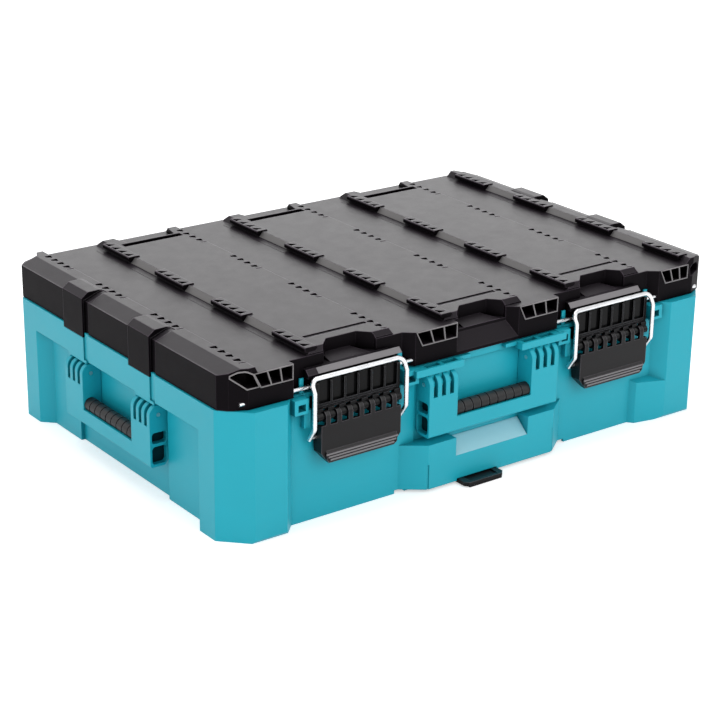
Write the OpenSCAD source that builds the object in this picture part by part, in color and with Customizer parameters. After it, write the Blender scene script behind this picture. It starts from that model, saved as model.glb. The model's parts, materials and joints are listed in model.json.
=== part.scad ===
// Hard tool case: a shallow tub with a hinged, stackable lid, two draw latches,
// three fold-down handles and a spring-loaded stacking lock tab.
// X runs along the front, -Y is the front, Z is up. The origin is the middle of
// the footprint, on the surface the case stands on.

/* [Case] */
// Width of the tub over its two ends
base_w = 596; // [560:1:680]
// Depth of the lid from front to back
lid_d = 393; // [360:1:460]
// How far the lid's ends sit inside the tub's ends
lid_inset = 1.5; // [1:0.5:3]
// Height of the tub's rim above the floor
rim_z = 127.4; // [120:0.1:170]
// Gap between the tub's rim and the lid
rim_gap = 0.6; // [0.4:0.1:1.2]
// Wall thickness of the tub
wall = 3; // [2.5:0.5:4]
// Height of the tub's floor above the ground
floor_z = 9; // [8:0.5:12]

/* [Tub outline] */
// How far the corner posts stand out in front of the lid
post_out = 8; // [6:0.5:12]
// Chamfer at the tub's four corners
corner_c = 26; // [20:1:30]
// Width of each corner post along the front
post_w = 61; // [56:1:66]
// Width of the sloped return beside each post
return_w = 13; // [10:1:20]
// Depth of the recessed front panel behind the lid's front
panel_in = 5; // [4:0.5:8]
// Height of the recesses in the tub's ends
side_recess_z = 100; // [90:1:110]
// Depth of the recess in each end
side_in = 12; // [8:0.5:13]
// Width of the handle bay beyond the handle at each side
bay_margin = 4; // [3:0.5:8]
// Distance of the end recess from the tub's corner chamfer
side_post = 26; // [20:1:34]
// Height of the wide foot beside the right-hand post
foot_wedge_z = 42; // [36:1:50]
// Width of the wide foot beside the right-hand post
foot_wedge_w = 35; // [30:1:42]

/* [Centre block] */
// Width of the block under the front handle
block_w = 157; // [150:1:164]
// How far the block stands in front of the lid
block_out = 12; // [10:0.5:13]
// Height of the block's shelf
block_z = 49; // [44:1:52]
// Width of each sloped side of the block
block_side = 23; // [18:1:28]
// Height of the block's underside
block_foot = 3.5; // [2:0.5:5]
// Width of the finger ramp in the block
ramp_w = 90; // [80:1:100]
// Height at which the finger ramp meets the front
ramp_z = 30; // [26:1:34]

/* [Lid] */
// Height of the lid from its rim to the valleys
lid_h = 33; // [30:0.5:38]
// Height of the plateaus above the valleys
plateau_h = 6; // [5:0.5:8]
// First stacking rail from the tub's left end
rail_first = 99.5; // [96:0.5:102]
// Last stacking rail from the tub's right end
rail_last = 30; // [28:0.5:34]
// Right edge of the narrow end plateau, from the tub's left end
end_plateau_w = 32; // [30:0.5:36]
// Width of each plateau
plateau_w = 88; // [84:1:92]
// Spacing of the rail blocks from front to back
tooth_pitch = 103; // [100:1:106]
// Length of a rail block
tooth_len = 53; // [48:1:58]
// Width of a rail block
tooth_w = 12; // [10:1:14]
// How far a rail block hangs out over the valley
tooth_over = 7.5; // [6:0.5:8]
// Height of a rail block above the plateau
tooth_up = 1.2; // [1:0.1:2]
// Thickness of the lid's walls
lid_wall = 3; // [2.5:0.5:4]
// Depth of the latch and handle bays in the lid's front
lid_bay = 8; // [6:0.5:8]
// Width of the two middle front blocks of the lid
cell_block_w = 50; // [46:1:54]
// Distance from the centre to the nearer end of a middle block
cell_block_x = 38; // [34:1:42]
// Width of the lid's outer front blocks from the tub's ends
end_block_w = 73; // [68:1:78]
// Depth of the open cells in the front blocks
cell_depth = 14; // [10:1:18]
// Height of the open cells
cell_h = 12; // [10:0.5:13]
// Depth of the notch cut in the front of each plateau
notch_depth = 14.5; // [12:0.5:20]
// Width of the notch's back edge
notch_w = 34; // [30:1:44]
// Width of the notch's slanted side
notch_slant = 12; // [10:0.5:16]

/* [Latches] */
// Distance of each latch from the centre
latch_x = 157; // [154:1:160]
// Width of the latch bracket
bracket_w = 95; // [92:1:98]
// Height of the bracket's top edge
bracket_top = 138.8; // [137:0.1:139.2]
// Height of the lever's pivot
pivot_z = 105.5; // [104:0.5:107]
// Distance of the lever's pivot in front of the lid
pivot_out = 5.5; // [5.5:0.1:6]
// Radius of the latch knuckles
knuckle_r = 5.5; // [5:0.5:6]
// Diameter of the latch pin
latch_pin_d = 3.2; // [2.5:0.1:4]
// Number of fingers on the lever
fingers = 7; // [5:1:9]
// Spacing of the lever's fingers
finger_pitch = 12.5; // [12:0.1:12.8]
// Width of one finger
finger_w = 5; // [4:0.5:6]
// Width of the lever
lever_w = 90; // [88:1:92]
// Height of the lever's lower edge
lever_low = 60.5; // [56:0.5:66]
// Depth of the lever's side cheeks
cheek_depth = 13; // [12:0.5:14]
// Thickness of the lever's plate and cheeks
lever_t = 3; // [2.5:0.5:3.5]
// Diameter of the bail's wire
wire_d = 4.5; // [4:0.1:5]
// Gap between the bail's legs and the latch
bail_gap = 2; // [0.5:0.1:2.5]
// Height of the bail's top bar
bar_z = 142.5; // [142:0.1:143]
// Height of the bail's pivot in the lever
bail_pivot_z = 85.5; // [84:0.5:87]
// Diameter of the steel rod behind each latch
rod_d = 4; // [3:0.5:5]
// Height of that rod
rod_z = 133.4; // [133:0.1:136]

/* [Handles] */
// Length of each handle
handle_len = 160; // [154:1:166]
// Width of each handle arm
arm_w = 34; // [32:1:38]
// Height of the handle from lower edge to pivot
handle_drop = 52; // [50:0.5:55]
// Thickness of the handle's arms
handle_t = 20.5; // [18:0.5:22]
// Distance of each handle's pivot behind its front face
handle_round = 9.5; // [8:0.5:9.5]
// Thickness of the bar between the arms
crossbar_t = 16; // [14:0.5:18]
// Height of the front handle's pivot
handle_pivot_z = 108.5; // [107:0.5:108.5]
// Height of the crossbar's plate
crossbar_h = 15.5; // [14:0.5:18]
// Diameter of the grip
grip_d = 14; // [13:0.5:15]
// Diameter of the handle pins
handle_pin_d = 4; // [3:0.5:5]
// Width of the slots in the handle's ends
slot_w = 4.8; // [4:0.1:5.4]
// How far the front handle stands in front of the lid
handle_out = 13; // [12.5:0.5:14]
// How far back from the middle the end handles sit
side_handle_y = 4; // [0:1:12]
// How far the end handles stand out from the tub's ends
side_handle_out = 5; // [3:0.5:6]

/* [Stacking lock] */
// Width of the lock tab
tab_w = 48; // [42:1:54]
// Offset of the lock tab from the centre
tab_x = -18; // [-24:1:24]
// How far the tab reaches in front of the lid
tab_reach = 26; // [22:1:30]
// Thickness of the tab
tab_t = 4; // [3:0.5:4.5]
// Travel of the tab
tab_travel = 8; // [6:1:10]

/* [Hidden] */
$fn = 32;

// colours
teal = "#2aa5b8";
charcoal = "#353236";
black = "#1c1b1d";
steel = "#c9ccd0";

// clearances and small fixed sizes
run_gap = 0.05; // radial gap of a running fit
side_gap = 0.4; // gap between pieces that slide past each other
eps = 0.01; // overlap that makes two solids of one piece join
blend = 0.5; // depth by which added blocks sink into their wall

// placing of the case about the middle of its footprint
hw = base_w / 2;
hinge_r = 5.5;
hinge_out = post_out - hinge_r;
total_d = tab_reach + lid_d + post_out;
yf = tab_reach - total_d / 2; // lid's front plane
yb = yf + lid_d; // lid's back plane
ymid = (yf + yb) / 2;
post_f = yf - post_out;
post_b = yb + post_out;
panel_y = yf + panel_in;
lid_z = rim_z + rim_gap;
valley_z = lid_z + lid_h;
plateau_z = valley_z + plateau_h;
lid_hw = hw - lid_inset;

slot_step = (arm_w + slot_w) / 4; // spacing of the slots in a handle arm
eye_w = slot_w - 2 * side_gap;
side_pivot_in = handle_round - side_handle_out;
side_pivot_z = side_recess_z - handle_round - 4;
bay_gap = 0.5; // gap between a handle's arms and its bay
bay_in = max(side_in + 1, handle_t - side_handle_out + bay_gap);
front_bay_y = yf - handle_out + handle_t + bay_gap;
bay_half = handle_len / 2 + bay_margin;
bail_x = max(lever_w, bracket_w) / 2 + wire_d / 2 + bail_gap; // the bail's legs from the latch's middle

// ---------- helpers ----------

// mirrored copy for the right-hand side
module pair_x(x) {
    for (s = [-1, 1]) translate([s * x, 0, 0]) children();
}
// mirror-image pair
module both() {
    children();
    mirror([1, 0, 0]) children();
}

// block given by its two corners
module block(lo, hi) {
    translate(lo) cube(hi - lo);
}

// shape drawn in the YZ plane and run from x0 to x1
module run_x(x0, x1) {
    translate([x0, 0, 0]) rotate([90, 0, 90]) linear_extrude(x1 - x0) children();
}

// shape drawn in the XZ plane and run from y0 to y1
module run_y(y0, y1) {
    translate([0, y1, 0]) rotate([90, 0, 0]) linear_extrude(y1 - y0) children();
}

// round bar along X
module bar_x(x0, x1, y, z, d) {
    translate([x0, y, z]) rotate([0, 90, 0]) cylinder(h = x1 - x0, d = d);
}

// round bar in the YZ plane from p, e0 after it, to q, e1 short of it
module leg(x, p, q, d, e0, e1) {
    v = q - p;
    translate([x, p[0], p[1]]) rotate([-atan2(v[0], v[1]), 0, 0]) translate([0, 0, e0])
        cylinder(h = norm(v) - e0 - e1, d = d, $fn = 48);
}
// bend of a round bar in the YZ plane, between two angles from +Y
module elbow(x, y, z, r, a0, a1, d) {
    translate([x, y, z]) rotate([90, 0, 90]) rotate([0, 0, a0])
        rotate_extrude(angle = a1 - a0, $fn = 48) translate([r, 0]) circle(d = d);
}

// rectangle with its corners cut off, as seen from above
module cut_plate(x, y0, y1, c) {
    polygon([[-x + c, y0], [x - c, y0], [x, y0 + c], [x, y1 - c], [x - c, y1], [-x + c, y1],
        [-x, y1 - c], [-x, y0 + c]]);
}

// ---------- tub ----------

ret_angle = atan((post_out + panel_in) / return_w);
ret_shift = tan(ret_angle / 2);
half45 = tan(22.5);
side_y0 = post_f + corner_c + side_post; // front end of the end recess
side_y1 = post_b - corner_c - side_post;
side_mid = ymid + side_handle_y;
bay_y0 = side_mid - bay_half;
bay_y1 = side_mid + bay_half;
post_x = hw - post_w;

// Left half of the tub's outline, walls moved inwards by i
function tub_front(i) = [
    [-post_x + return_w - i * ret_shift, panel_y + i],
    [-post_x - i * ret_shift, post_f + i],
    [-hw + corner_c + i * half45, post_f + i],
    [-hw + i, post_f + corner_c + i * half45]];
function tub_back(i) = [
    [-hw + i, post_b - corner_c - i * half45],
    [-hw + corner_c + i * half45, post_b - i]];
function tub_side(i) = [
    [-hw + i, side_y0 - i * half45],
    [-hw + side_in + i, side_y0 + side_in - i * half45],
    [-hw + side_in + i, bay_y0 - i],
    [-hw + bay_in + i, bay_y0 - i],
    [-hw + bay_in + i, bay_y1 + i],
    [-hw + side_in + i, bay_y1 + i],
    [-hw + side_in + i, side_y1 - side_in + i * half45],
    [-hw + i, side_y1 + i * half45]];
// posts at the back stand out from the back wall
function tub_rear(i) = [
    [-post_x - i * half45, post_b - i],
    [-post_x + post_out - i * half45, yb - i]];
function flip_x(pts) = [for (k = [len(pts) - 1:-1:0]) [-pts[k][0], pts[k][1]]];
function tub_low(i) =
    let (half = concat(tub_front(i), tub_side(i), tub_back(i), tub_rear(i)))
    concat(half, flip_x(half));
function tub_high(i) =
    let (half = concat(tub_front(i), tub_back(i), tub_rear(i)))
    concat(half, flip_x(half));

// centre block under the front handle, drawn as seen from above, inset by i
module centre_block_plan(i) {
    half = block_w / 2;
    polygon([[-half - block_side + i, panel_y + wall], [-half - block_side + i, panel_y],
        [-half + i, yf - block_out + i], [half - i, yf - block_out + i],
        [half + block_side - i, panel_y], [half + block_side - i, panel_y + wall]]);
}

module centre_block() {
    difference() {
        translate([0, 0, block_foot]) linear_extrude(block_z - block_foot) centre_block_plan(0);
        // hollow behind its front wall, open to the underside
        translate([0, 0, -1]) linear_extrude(ramp_z - 2 * wall) centre_block_plan(wall);
        // finger ramp below the handle
        run_x(-ramp_w / 2, ramp_w / 2) polygon([
            [yf - block_out - 1, ramp_z], [yf - block_out, ramp_z], [panel_y - 1, block_z - 5],
            [panel_y - 1, block_z + 1], [yf - block_out - 1, block_z + 1]]);
        // narrow grooves in its two front corners
        pair_x(block_w / 2) block([-1.2, yf - block_out - 1, -1], [1.2, yf - block_out + 1, block_z - 20]);
    }
}

// wide foot beside the right-hand post, drawn on the left
module foot_wedge() {
    x0 = -post_x - blend;
    x1 = -post_x + foot_wedge_w;
    intersection() {
        linear_extrude(foot_wedge_z + 8) polygon([[x0, post_f], [-post_x, post_f],
            [x1, yf - 1], [x1 + 5, panel_y], [x1 + 5, panel_y + blend], [x0, panel_y + blend]]);
        run_x(x0, x1 + 5) polygon([[post_f, 0], [post_f, foot_wedge_z],
            [panel_y, foot_wedge_z + 5], [panel_y + blend, foot_wedge_z + 5], [panel_y + blend, 0]]);
    }
}

// small shelf above each front handle arm, with the ear beside the latch
shelf_x0 = 36;
shelf_x1 = 93;
shelf_z = 119;
module shelf() {
    difference() {
        union() {
            block([shelf_x0, yf - 9, shelf_z], [shelf_x1, panel_y + blend, rim_z - 1.4]);
            block([shelf_x0 - 14, yf - 1, rim_z - 5], [shelf_x0 + 1, panel_y + blend, rim_z - 1.4]);
        }
        // pockets in its top
        for (x = [shelf_x0 + 5, shelf_x0 + 26])
            block([x, yf - 6, rim_z - 5], [x + 17, yf + 1, rim_z + 1]);
    }
}

// ear with a square hole beside a latch, at x from the latch's middle
ear_in = bail_x + 1.5;
ear_out = ear_in + 17;
prong_in = 5.9;
module ear() {
    difference() {
        union() {
            block([ear_in + 2, yf - 5, 112], [ear_out, panel_y + blend, rim_z - 1]);
            block([ear_in - 3, yf - 1, 96], [ear_in + 4, panel_y + blend, 113]);
            // prong behind the keeper rod
            block([ear_in, yf + prong_in, rim_z - 2], [ear_in + 4.5, yf + lid_bay - side_gap, lid_z + 14]);
        }
        block([ear_in + 5, yf - 6, 115], [ear_in + 13, yf + 4, 121.6]);
    }
}

// row of knuckles on the hinge axis: segments k0, k0 + 2 and so on
hinge_x = 157;
hinge_len = 100;
segs = 5;
hinge_y = yb + hinge_out;
hinge_z = lid_z;
module hinge_row(k0, grow) {
    seg = hinge_len / segs;
    for (k = [k0:2:segs - 1])
        bar_x(-hinge_len / 2 + k * seg - grow + 0.2, -hinge_len / 2 + (k + 1) * seg + grow - 0.2,
            hinge_y, hinge_z, 2 * hinge_r + 2 * grow);
}
hinge_pin_d = 4;

// bearing eye and stem that carry a handle, one in each slot of the arm
module handle_eyes(up) {
    for (s = [-1, 1], k = [1:3]) {
        x = s * (handle_len / 2 - arm_w / 2) + (k - 2) * slot_step;
        bar_x(x - eye_w / 2, x + eye_w / 2, 0, 0, 11);
        block([x - eye_w / 2, -3, 0], [x + eye_w / 2, up[0], up[1]]);
    }
}

// bores and clearance for one handle's pins
module eye_bores() {
    bar_x(-handle_len / 2, handle_len / 2, 0, 0, handle_pin_d + 2 * run_gap);
}

base_ch = 4; // bevel along the tub's lower edge
module base_shell() {
    color(teal) difference() {
        union() {
            linear_extrude(side_recess_z) polygon(tub_low(0));
            translate([0, 0, side_recess_z - eps]) linear_extrude(rim_z - side_recess_z + eps)
                polygon(tub_high(0));
            centre_block();
            mirror([1, 0, 0]) foot_wedge();
            shelf();
            mirror([1, 0, 0]) shelf();
            pair_x(latch_x) {
                ear();
                mirror([1, 0, 0]) ear();
            }
            pair_x(hinge_x) hinge_row(0, 0);
            place_front_handle() handle_eyes([3, shelf_z - handle_pivot_z + 1]);
            place_left_handle() handle_eyes([bay_in - side_pivot_in + blend, 3]);
            place_right_handle() handle_eyes([bay_in - side_pivot_in + blend, 3]);
        }
        // inside of the tub, less the back of the front handle's bay
        difference() {
            union() {
                translate([0, 0, floor_z + wall]) linear_extrude(side_recess_z - floor_z)
                    polygon(tub_low(wall));
                translate([0, 0, side_recess_z + wall])
                    linear_extrude(rim_flange_z - side_recess_z - wall) polygon(tub_high(wall));
            }
            block([-bay_half - wall, panel_y, block_z - wall],
                [bay_half + wall, front_bay_y + wall, rim_z]);
        }
        // bay behind the front handle
        block([-bay_half, yf - 1, block_z], [bay_half, front_bay_y, shelf_z]);
        block([-hw + rim_in, panel_y + 13, rim_flange_z - 1], [hw - rim_in, yb - 16, rim_z + 1]);
        // underside, with room for the rails of a case below
        translate([0, 0, -1]) linear_extrude(floor_z + 1) polygon(tub_low(wall));
        // the front wall's lower edge is raised beside the centre block
        pair_x(block_w / 2 + block_side) block([-4, panel_y - 1, -1], [8, panel_y + wall + 0.2, block_foot]);
        // bevel along the lower edge of the posts
        run_x(-hw - 1, hw + 1) polygon([[post_f - 1, -1], [post_f + base_ch - 1, -1],
            [post_f - 1, base_ch]]);
        // room for the lock tab under the centre block
        block([tab_x - tab_w / 2 - 1, yf - block_out - 1, -1],
            [tab_x + tab_w / 2 + 1, panel_y + wall + 1, tab_z + tab_t + side_gap]);
        // relief for the lid's knuckles and the hinge pins' bores
        pair_x(hinge_x) hinge_row(1, side_gap + 0.2);
        pair_x(hinge_x) bar_x(-hinge_len / 2 - 1, hinge_len / 2 + 1, hinge_y, hinge_z, hinge_pin_d);
        // bores for the handle pins
        place_front_handle() eye_bores();
        place_left_handle() eye_bores();
        place_right_handle() eye_bores();
        // grooves in the collar below the lid's joints
        for (s = [-1, 1], k = [0, 1])
            block([s * hw - 1.5, module_y(k) - groove_w, side_recess_z - 1],
                [s * hw + 1.5, module_y(k), rim_z + 1]);
        // room for the skirts of the lid's thicker pieces
        for (s = [-1, 1], k = [0, 1])
            block([s * hw - skirt_t - side_gap, module_y(k) - 1, lid_z - skirt - side_gap],
                [s * hw + skirt_t + side_gap, module_y(k) + proud_w + side_gap, rim_z + 1]);
    }
    color(teal) arm_caps();
    color(teal) under_rails();
}
// the collar reaches lower over the arms of the end handles
module arm_caps() {
    for (s = [-1, 1], m = [-1, 1])
        block([s * (hw - side_in / 2) - side_in / 2, side_mid + m * (handle_len - arm_w) / 2 - arm_w / 2,
            side_recess_z - 3], [s * (hw - side_in / 2) + side_in / 2,
            side_mid + m * (handle_len - arm_w) / 2 + arm_w / 2, side_recess_z + eps]);
}
rim_flange_z = rim_z - 6;
rim_in = 24;

// hooked rails under the tub that slide below the rail blocks of a case below
module under_rails() {
    for (k = [0:3]) {
        x = rail_x(k) - 14;
        run_y(guide_y0 + guide_d + 12, post_b - 40) polygon([[x, floor_z + eps], [x, 1.5], [x + 8, 1.5],
            [x + 8, 4.5], [x + 4, 4.5], [x + 4, floor_z + eps]]);
    }
}

// ---------- stacking lock ----------

tab_z = 1.5; // height of the tab's underside
guide_w = 120;
guide_d = 62;
guide_y0 = panel_y + wall + 0.4;
module lock_guide() {
    color(black) difference() {
        block([tab_x - guide_w / 2, guide_y0, 0.8], [tab_x + guide_w / 2, guide_y0 + guide_d, floor_z]);
        block([tab_x - tab_w / 2 - side_gap, guide_y0 - 1, tab_z - 0.3],
            [tab_x + tab_w / 2 + side_gap, guide_y0 + guide_d - 8, tab_z + tab_t + side_gap]);
        block([tab_x - tab_w / 2 + 4, guide_y0 - 1, -1],
            [tab_x + tab_w / 2 - 4, guide_y0 + guide_d - 8, tab_z + 1]);
    }
}

spring_len = 14;
tab_back = guide_y0 + guide_d - 8 - spring_len;
module lock_tab() {
    y0 = yf - tab_reach;
    color(black) difference() {
        union() {
            translate([0, 0, tab_z]) linear_extrude(tab_t) polygon([
                [tab_x - tab_w / 2 + 4, y0], [tab_x + tab_w / 2 - 4, y0],
                [tab_x + tab_w / 2, y0 + 4], [tab_x + tab_w / 2, tab_back],
                [tab_x - tab_w / 2, tab_back], [tab_x - tab_w / 2, y0 + 4]]);
            // turned-down lip at the front
            block([tab_x - tab_w / 2 + 4, y0, tab_z - 1], [tab_x + tab_w / 2 - 4, y0 + 3, tab_z + eps]);
        }
        // finger dish
        translate([tab_x, y0 + 11, tab_z + tab_t + 22]) rotate([0, 90, 0])
            cylinder(h = tab_w - 14, d = 47, center = true, $fn = 64);
    }
}

module lock_spring() {
    turns = 5;
    pitch = spring_len / turns;
    color(steel) for (k = [0:turns - 1])
        translate([tab_x, tab_back + (k + 0.5) * pitch, tab_z + tab_t / 2]) rotate([90, 0, 0])
            rotate_extrude($fn = 24) translate([1.6, 0]) circle(d = 0.7, $fn = 16);
    color(steel) bar_y(tab_x, tab_z + tab_t / 2, tab_back, tab_back + spring_len, 2.6);
}
module bar_y(x, z, y0, y1, d) {
    translate([x, y1, z]) rotate([90, 0, 0]) cylinder(h = y1 - y0, d = d);
}

// ---------- lid ----------

rail_pitch = (base_w - rail_first - rail_last) / 3;
function rail_x(k) = -hw + rail_first + k * rail_pitch;
// right edge of the plateau before rail k
function edge_x(k) = k == 0 ? -hw + end_plateau_w : rail_x(k) - rail_pitch + plateau_w;
function tooth_y(j) = ymid - 5.5 + (j - 1.5) * tooth_pitch;
module_pitch = 124;
groove_w = 9;
proud_w = 38;
// front edge of the k-th proud piece on the lid's ends
function module_y(k) = ymid - 69.5 + k * module_pitch;

lid_c = 16; // corner size of the lid
lid_k = 7.5; // second corner point
end_x = hw - end_block_w; // inner end of the outer front blocks
slope = 10; // sloped left side of each front block
function lid_plan_left() = [
    [-lid_hw, yf + lid_c], [-lid_hw + lid_k, yf + lid_k], [-lid_hw + lid_c + lid_k, yf]];
function lid_plan_back() = [
    [lid_hw - lid_c - lid_k, yb], [lid_hw - lid_k, yb - lid_k], [lid_hw, yb - lid_c]];
block_2 = -cell_block_x - cell_block_w; // left end of the second front block
block_3 = cell_block_x;
module lid_plan() {
    polygon(concat(
        lid_plan_left(),
        [[-end_x, yf], [-end_x, yf + lid_bay],
        [block_2 - slope, yf + lid_bay], [block_2, yf],
        [block_2 + cell_block_w, yf], [block_2 + cell_block_w, yf + lid_bay],
        [block_3 - slope, yf + lid_bay], [block_3, yf],
        [block_3 + cell_block_w, yf], [block_3 + cell_block_w, yf + lid_bay],
        [end_x - slope, yf + lid_bay], [end_x, yf]],
        [[lid_hw - lid_c - lid_k, yf], [lid_hw - lid_k, yf + lid_k], [lid_hw, yf + lid_c]],
        [[lid_hw, yb - lid_c], [lid_hw - lid_k, yb - lid_k], [lid_hw - lid_c - lid_k, yb]],
        [[-lid_hw + lid_c + lid_k, yb], [-lid_hw + lid_k, yb - lid_k], [-lid_hw, yb - lid_c]]));
}

bevel_w = 17.5; // width of the lid's end bevels
rail_slope = 5.5; // width of the slope up to a rail
edge_slope = 3;
// raised surfaces between the rails, drawn in the XZ plane
module mid_section() {
    z0 = valley_z - 1;
    for (k = [0:2])
        polygon([[rail_x(k) - rail_slope, z0], [rail_x(k) - rail_slope, valley_z],
            [rail_x(k), plateau_z], [edge_x(k + 1), plateau_z],
            [edge_x(k + 1) + edge_slope, valley_z], [edge_x(k + 1) + edge_slope, z0]]);
}
module end_section() {
    z0 = valley_z - 1;
    polygon([[-lid_hw, z0], [-lid_hw, valley_z - 0.5], [-lid_hw + bevel_w, plateau_z],
        [edge_x(0), plateau_z], [edge_x(0) + edge_slope, valley_z], [edge_x(0) + edge_slope, z0]]);
    polygon([[rail_x(3) - rail_slope, z0], [rail_x(3) - rail_slope, valley_z],
        [rail_x(3), plateau_z], [lid_hw - bevel_w, plateau_z],
        [lid_hw, valley_z - 0.5], [lid_hw, z0]]);
}
plat_f = yf + 9; // front end of the middle plateaus
plat_b = yb - 4; // back end of the plateaus' two edges
mid_b = yb - 28; // back end of their middles
module plateaus() {
    difference() {
        intersection() {
            run_y(plat_f, plat_b) mid_section();
            run_x(-hw, hw) polygon([[plat_f, valley_z - 2], [plat_f, valley_z + 1],
                [plat_f + 4, plateau_z + 1], [plat_b - 5, plateau_z + 1], [plat_b, valley_z + 2],
                [plat_b, valley_z - 2]]);
        }
        for (k = [0:2]) translate([0, 0, valley_z]) linear_extrude(plateau_h + 1)
            polygon([[rail_x(k) + 18, mid_b], [edge_x(k + 1) - 14, mid_b], [edge_x(k + 1) - 8, yb + 1],
                [rail_x(k) + 10, yb + 1]]);
    }
    intersection() {
        difference() {
            run_y(yf, plat_b) end_section();
            // they fall away at the back beside their notches
            for (s = [-1, 1]) translate([0, 0, valley_z]) linear_extrude(plateau_h + 1)
                polygon([[s * (hw + 1), yb - 14], [s * (lid_hw - bevel_w - 2), yb - 14],
                    [s * (lid_hw - bevel_w - 8), yb + 1], [s * (hw + 1), yb + 1]]);
        }
        translate([0, 0, valley_z - 2]) linear_extrude(plateau_h + 3) lid_plan();
    }
}
module scale_flip(s) {
    if (s > 0) mirror([1, 0, 0]) children();
    else children();
}

// one hooked block on a rail, running along Y from y0
module rail_block(x, y0) {
    top = plateau_z + tooth_up;
    run_y(y0, y0 + tooth_len) polygon([[x + 3, valley_z + 1], [x - tooth_over + 1, valley_z + 2.6],
        [x - tooth_over, valley_z + 3.4], [x - tooth_over, top - 0.8], [x - tooth_over + 0.8, top],
        [x - tooth_over + tooth_w, top], [x - tooth_over + tooth_w + 2, plateau_z - 0.5]]);
}
module rail_blocks() {
    for (k = [0:3], j = [0:3]) rail_block(rail_x(k), tooth_y(j) - tooth_len / 2);
}

// triangular pockets in the top of the rail blocks
tooth_pocket = 9;
module rail_pockets() {
    translate([0, 0, plateau_z + tooth_up - 2.2]) linear_extrude(3)
        for (k = [0:3], j = [0:3], m = [0:3]) {
            x = rail_x(k) - tooth_over + 1.6;
            y = tooth_y(j) - tooth_len / 2 + 4.5 + m * 12.8;
            polygon([[x, y], [x + tooth_w - 3.6, y + 1], [x, y + tooth_pocket]]);
        }
}

// short slanted notches and a thin slit along the right edge of each plateau
module edge_notches() {
    translate([0, 0, plateau_z - 2.6]) linear_extrude(4)
        for (k = [0:3], j = [0:3]) {
            x = edge_x(k);
            y = tooth_y(j) + 3 - tooth_len / 2;
            polygon([[x - 7, y + 1.8], [x + 3, y], [x + 3, y + 1.3], [x - 7, y + 3.1]]);
            for (m = [0:3])
                translate([x, y + 5 + m * 12.6]) polygon([[-7, 4.5], [-2, 0], [4, 0], [4, 3], [-1, 7.5],
                    [-7, 7.5]]);
        }
}

// long slots near the front and the back of each plateau
slot_in = 36;
slot_len = 70;
module top_slots() {
    for (k = [0:2]) {
        x0 = rail_x(k) + 9;
        // shallow front slot and a wider, deeper one at the back
        block([x0, yf + slot_in - 2.5, plateau_z - 1], [x0 + slot_len, yf + slot_in + 2.5, plateau_z + 1]);
        block([x0, yb - slot_in - 2.5, plateau_z - 5.5], [x0 + slot_len, yb - slot_in + 6, plateau_z + 1]);
    }
}

// notch in the front of each plateau, with a sloped floor piece in it
notch_z = valley_z - 11;
module plateau_notches() {
    y1 = yf + lid_bay + notch_depth;
    for (k = [0:2]) {
        x0 = rail_x(k) + 24;
        translate([0, 0, notch_z]) linear_extrude(40) polygon([
            [x0 - notch_slant - 2, yf - 1], [x0 - notch_slant, y1 - notch_slant], [x0, y1],
            [x0 + notch_w, y1], [x0 + notch_w + notch_slant, y1 - notch_slant],
            [x0 + notch_w + notch_slant + 2, yf - 1]]);
    }
}
module notch_wedges() {
    for (k = [0:2]) {
        x0 = rail_x(k) + 24;
        y1 = yf + lid_bay + notch_depth;
        intersection() {
            linear_extrude(plateau_z) polygon([[x0 - 5, yf + lid_bay], [x0 + notch_w + 6, yf + lid_bay],
                [x0 + notch_w - 8, y1 + 1], [x0 - 5, y1 + 1]]);
            run_x(x0 - 5, x0 + notch_w + 6) polygon([[yf + lid_bay, notch_z - 1], [yf + lid_bay, notch_z + 0.2],
                [y1 + 1, notch_z + 4.5], [y1 + 1, notch_z - 1]]);
        }
    }
}

// front ledge above each latch, with the sloped lip the bail lies under
ledge_y = yf - 0.7;
module latch_ledges() {
    pair_x(latch_x) run_x(-52.5, 41.5) polygon([[yf + lid_bay + 1, notch_z - 7],
        [ledge_y, bar_z + wire_d / 2 - 2.4], [ledge_y, notch_z - 4.5], [ledge_y + 4.5, notch_z],
        [yf + lid_bay + 1, notch_z]]);
}
// sloped finger apron above the front handle
module handle_apron() {
    x0 = block_2 + cell_block_w - 1;
    run_x(x0, block_3 + 1) polygon([[yf + lid_bay + 1, lid_z], [yf, lid_z], [yf, lid_z + 3],
        [yf + lid_bay, notch_z - 3], [yf + lid_bay + 1, notch_z - 3]]);
}

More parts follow.
